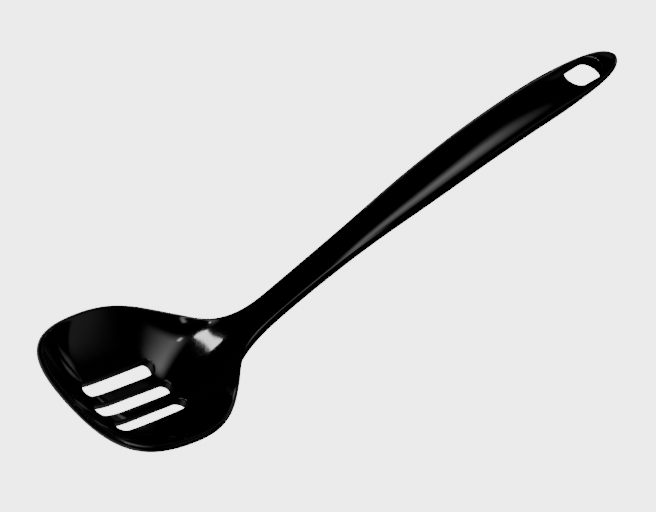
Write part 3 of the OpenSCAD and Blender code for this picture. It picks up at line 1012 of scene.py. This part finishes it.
class SPOON_OT_stage(bpy.types.Operator):
    """Make the pale floor, the studio light and the camera"""

    bl_idname = "spoon.stage"
    bl_label = "Stage"

    def execute(self, context):
        settings = context.scene.spoon_stage
        self.make_floor(context, settings)
        self.make_light(context, settings)
        self.make_camera(context, settings)
        return {"FINISHED"}

    def make_floor(self, context, settings):
        """A pale round floor, and a dim surround that only the gloss mirrors."""
        turns = [2 * math.pi * i / ROOM_STEPS for i in range(ROOM_STEPS)]
        ring = [(ROOM_RADIUS * math.cos(a), ROOM_RADIUS * math.sin(a)) for a in turns]
        ground = tuple(range(ROOM_STEPS))
        floor = self.stage_piece(context, "floor", [(x, y, 0) for x, y in ring], [ground])
        self.plain(floor, settings.floor_colour, settings.room_colour, settings.floor_glow)
        floor.visible_glossy = floor.visible_diffuse = False
        wall = [(i, i + ROOM_STEPS, (i + 1) % ROOM_STEPS + ROOM_STEPS, (i + 1) % ROOM_STEPS) for i in ground]
        heights = [ROOM_RADIUS * math.tan(math.radians(level)) for level in SURROUND_LEVELS]
        surround = self.stage_piece(context, "surround", [(x, y, z) for z in heights for x, y in ring], wall)
        surround.visible_camera = surround.visible_diffuse = surround.visible_shadow = False
        self.plain(surround, (0, 0, 0), settings.room_colour, settings.surround_glow)

    @staticmethod
    def stage_piece(context, name, points, faces):
        """A mesh that belongs to the stage and not to the spoon."""
        mesh = bpy.data.meshes.new(name)
        mesh.from_pydata(points, [], faces)
        piece = bpy.data.objects.new(name, mesh)
        context.scene.collection.objects.link(piece)
        return piece

    @staticmethod
    def plain(piece, tint, light, glow):
        """Gives a piece of the stage a plain matt material, and returns its node tree and shader."""
        material = bpy.data.materials.new(f"{piece.name}_plain")
        material.use_nodes = True
        shader = material.node_tree.nodes["Principled BSDF"]
        shader.inputs["Base Color"].default_value = (*tint, 1)
        shader.inputs["Roughness"].default_value = 1
        shader.inputs["Specular IOR Level"].default_value = 0
        shader.inputs["Emission Color"].default_value = (*light, 1)
        shader.inputs["Emission Strength"].default_value = glow
        piece.data.materials.append(material)
        return material.node_tree, shader

    def make_light(self, context, settings):
        """Soft lamps above the spoon and dim boards round it, which show in its gloss alone."""
        world = bpy.data.worlds.new("studio")
        world.use_nodes = True
        sky = world.node_tree.nodes["Background"].inputs
        sky["Color"].default_value = (*settings.room_colour, 1)
        sky["Strength"].default_value = settings.floor_glow
        world.cycles_visibility.glossy = world.cycles_visibility.diffuse = False
        context.scene.world = world
        for lamp in LAMPS:
            self.make_lamp(context, settings, *lamp)
        bowl = Vector(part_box("bowl")[0]).lerp(Vector(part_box("bowl")[1]), 0.5)
        for name, directions, levels, glow, soft in BOARDS:
            low, high = (BOARD_DISTANCE * math.tan(math.radians(level)) for level in levels)
            first, last = (math.radians(direction) for direction in directions)
            facing = (first + last) / 2
            size = 2 * BOARD_DISTANCE * math.tan((last - first) / 2), high - low
            x, y = BOARD_DISTANCE * math.cos(facing), BOARD_DISTANCE * math.sin(facing)
            middle = bowl + Vector((x, y, (low + high) / 2))
            turns = 90, math.degrees(facing) + 90
            self.make_lamp(context, settings, name, middle, size, turns, glow, soft, 0)

    def make_lamp(self, context, settings, name, middle, size, turns, glow, soft, rise):
        """A flat lamp that fades towards its ends and sides, most steeply on the first side."""
        corners = [(x * size[0] / 2, y * size[1] / 2, 0) for x, y in ((-1, 1), (1, 1), (1, -1), (-1, -1))]
        lamp = self.stage_piece(context, name, corners, [(0, 1, 2, 3)])
        lamp.location = middle
        tilt, turn = (math.radians(a) for a in turns)
        lamp.rotation_euler = (tilt, 0, turn)
        lamp.visible_camera = lamp.visible_diffuse = lamp.visible_shadow = False
        tree, shader = self.plain(lamp, (0, 0, 0), settings.room_colour, glow)
        place = Socket.of(tree, "ShaderNodeTexCoord", output="Generated")
        along, across = (
            Socket.of(tree, "ShaderNodeSeparateXYZ", inputs={"Vector": place}, output=axis) * 2 - 1
            for axis in "XY")
        edges = [
            way.step(side, side - side * edge)
            for way, side, edge in zip((along, along, across, across), (-1, 1, -1, 1), soft)]
        light = edges[0] * edges[1] * edges[2] * edges[2] * edges[3] * (1 + along * rise)
        tree.links.new(light.output, shader.inputs["Emission Color"])

    def make_camera(self, context, settings):
        """The camera, at the photo's angle."""
        a, e, roll = settings.camera_azimuth, settings.camera_elevation, settings.camera_roll
        ahead = Vector((math.sin(a) * math.cos(e), math.cos(a) * math.cos(e), -math.sin(e)))
        level = Vector((math.cos(a), -math.sin(a), 0))
        right = level * math.cos(roll) + level.cross(ahead) * math.sin(roll)
        up = right.cross(ahead)
        lens = bpy.data.cameras.new("camera")
        lens.lens = settings.camera_lens
        lens.sensor_width = SENSOR_WIDTH
        lens.sensor_fit = "HORIZONTAL"
        camera = bpy.data.objects.new("camera", lens)
        place = Vector(settings.camera_aim) - ahead * settings.camera_distance
        turn = Matrix((right, up, -ahead)).transposed().to_4x4()
        camera.matrix_world = Matrix.Translation(place) @ turn
        context.scene.collection.objects.link(camera)
        context.scene.camera = camera


class SPOON_PT_panel(bpy.types.Panel):
    """Lists the steps that make the spoon"""

    bl_idname = "SPOON_PT_panel"
    bl_label = "Spoon"
    bl_space_type = "VIEW_3D"
    bl_region_type = "UI"
    bl_category = "Spoon"

    def draw(self, context):
        layout = self.layout
        for operator in OPERATORS:
            layout.operator(operator.bl_idname)
        for group in (context.scene.spoon_sizes, context.scene.spoon_finish, context.scene.spoon_stage):
            box = layout.box()
            for name in type(group).__annotations__:
                box.prop(group, name)


GROUPS = {"spoon_sizes": SpoonSizes, "spoon_finish": SpoonFinish, "spoon_stage": SpoonStage}
OPERATORS = (SPOON_OT_bowl, SPOON_OT_rim, SPOON_OT_handle, SPOON_OT_hanging_end, SPOON_OT_stage)


def register():
    for cls in (*GROUPS.values(), *OPERATORS, SPOON_PT_panel):
        bpy.utils.register_class(cls)
    for name, group in GROUPS.items():
        setattr(bpy.types.Scene, name, bpy.props.PointerProperty(type=group))


def unregister():
    for name in GROUPS:
        delattr(bpy.types.Scene, name)
    for cls in (SPOON_PT_panel, *reversed(OPERATORS), *reversed(GROUPS.values())):
        bpy.utils.unregister_class(cls)


def main():
    """Makes the spoon and its stage."""
    register()
    bpy.ops.spoon.bowl()
    bpy.ops.spoon.rim()
    bpy.ops.spoon.handle()
    bpy.ops.spoon.hanging_end()
    bpy.ops.spoon.stage()


if __name__ == "__main__":
    main()
